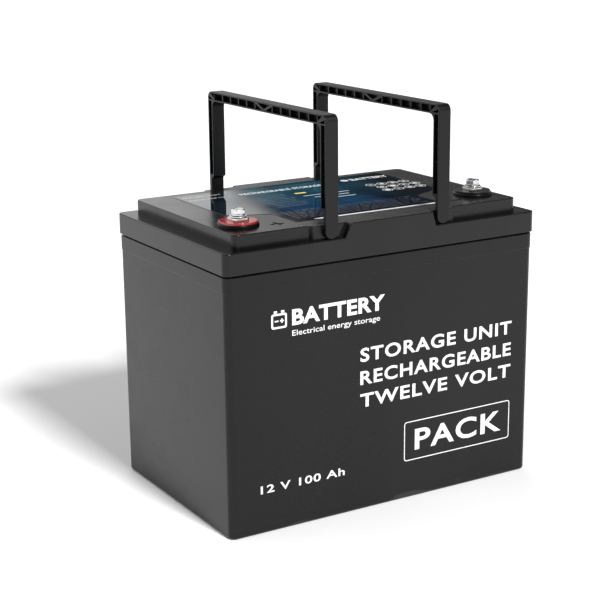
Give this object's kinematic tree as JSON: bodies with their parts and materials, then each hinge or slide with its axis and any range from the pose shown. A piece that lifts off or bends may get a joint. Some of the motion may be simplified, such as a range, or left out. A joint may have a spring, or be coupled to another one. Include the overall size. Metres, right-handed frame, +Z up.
{
  "type": "deep cycle battery",
  "caption": "Rectangular deep cycle battery with a stepped cover, fold-down bail handles, bolted terminals and a printed top label.",
  "frame": {"origin": "centre of the base, on the surface the battery stands on", "axes": "+X along the length towards the negative terminal, +Y along the width away from the terminals' long side, +Z up"},
  "size_m": [0.26, 0.168, 0.287],
  "materials": {
    "case_plastic": "satin, fine moulded grain",
    "cover_plastic": "satin, slightly glossier than the case",
    "handle_plastic": "satin",
    "gasket_rubber": "matte",
    "label_print": "gloss laminate",
    "terminal_plastic": "gloss",
    "nut_nylon": "satin",
    "red_marker": "gloss",
    "black_marker": "gloss",
    "plated_brass": "bright tin plate",
    "zinc_steel": "bright zinc plate",
    "cell_film": "blue film on an aluminium can",
    "insulating_board": "matte",
    "copper_bar": "bright copper",
    "aluminium_plate": "mill finish",
    "black_foam": "matte foam",
    "steel_strap": "brushed",
    "standoff_brass": "bright",
    "board_laminate": "solder mask",
    "transistor_epoxy": "satin",
    "white_nylon": "satin",
    "red_silicone": "satin",
    "black_silicone": "satin"
  },
  "bodies": {
    "battery": {"case": "case_plastic", "cover": "cover_plastic", "top_label": "label_print", "positive_terminal_base": "terminal_plastic", "negative_terminal_base": "terminal_plastic", "positive_terminal_marker": "red_marker", "negative_terminal_marker": "black_marker", "positive_terminal_post": "plated_brass", "negative_terminal_post": "plated_brass", "cell_1": "cell_film", "cell_2": "cell_film", "cell_3": "cell_film", "cell_4": "cell_film", "cell_spacer_1": "insulating_board", "cell_spacer_2": "insulating_board", "cell_spacer_3": "insulating_board", "left_end_plate": "aluminium_plate", "right_end_plate": "aluminium_plate", "left_foam_pad": "black_foam", "right_foam_pad": "black_foam", "lower_pack_strap": "steel_strap", "upper_pack_strap": "steel_strap", "base_pad": "black_foam", "series_busbar_1": "copper_bar", "series_busbar_2": "copper_bar", "series_busbar_3": "copper_bar", "pack_positive_tab": "copper_bar", "pack_negative_tab": "copper_bar", "board_tray": "insulating_board", "board_standoff_1": "standoff_brass", "board_standoff_2": "standoff_brass", "board_standoff_3": "standoff_brass", "board_standoff_4": "standoff_brass", "management_board": "board_laminate", "transistor_bank": "transistor_epoxy", "heat_sink": "aluminium_plate", "board_input_lug": "copper_bar", "board_output_lug": "copper_bar", "sense_connector": "white_nylon", "positive_lead": "red_silicone", "negative_lead": "black_silicone", "output_lead": "black_silicone", "sense_harness": "white_nylon", "temperature_lead": "black_silicone", "temperature_probe": "zinc_steel", "cover_gasket": "gasket_rubber", "positive_terminal_lock_nut": "nut_nylon", "negative_terminal_lock_nut": "nut_nylon"},
    "left_handle": {"left_handle": "handle_plastic"},
    "right_handle": {"right_handle": "handle_plastic"},
    "positive_washers": {"positive_flat_washer": "zinc_steel", "positive_spring_washer": "zinc_steel"},
    "positive_bolt": {"positive_terminal_bolt": "zinc_steel"},
    "negative_washers": {"negative_flat_washer": "zinc_steel", "negative_spring_washer": "zinc_steel"},
    "negative_bolt": {"negative_terminal_bolt": "zinc_steel"}
  },
  "joints": [
    {"name": "left_handle_fold", "type": "hinge", "parent": "battery", "child": "left_handle", "pos_m": [-0.0466, 0, 0.2076], "axis": [0, -1, 0], "range_deg": [-20, 90]},
    {"name": "right_handle_fold", "type": "hinge", "parent": "battery", "child": "right_handle", "pos_m": [0.0466, 0, 0.2076], "axis": [0, 1, 0], "range_deg": [-20, 90]},
    {"name": "positive_bolt_lift", "type": "slide", "parent": "battery", "child": "positive_washers", "axis": [0, 0, 1], "range_m": [0, 0.0115]},
    {"name": "positive_bolt_turn", "type": "hinge", "parent": "positive_washers", "child": "positive_bolt", "pos_m": [-0.0995, -0.0477, 0.22055], "axis": [0, 0, 1], "range_deg": [0, 4160]},
    {"name": "negative_bolt_lift", "type": "slide", "parent": "battery", "child": "negative_washers", "axis": [0, 0, 1], "range_m": [0, 0.0115]},
    {"name": "negative_bolt_turn", "type": "hinge", "parent": "negative_washers", "child": "negative_bolt", "pos_m": [0.0995, -0.0477, 0.22055], "axis": [0, 0, 1], "range_deg": [0, 4160]}
  ],
  "couplings": [
    {"joint": "positive_bolt_turn", "follows": "positive_bolt_lift", "rad_per_m": 6283.2},
    {"joint": "negative_bolt_turn", "follows": "negative_bolt_lift", "rad_per_m": 6283.2}
  ]
}
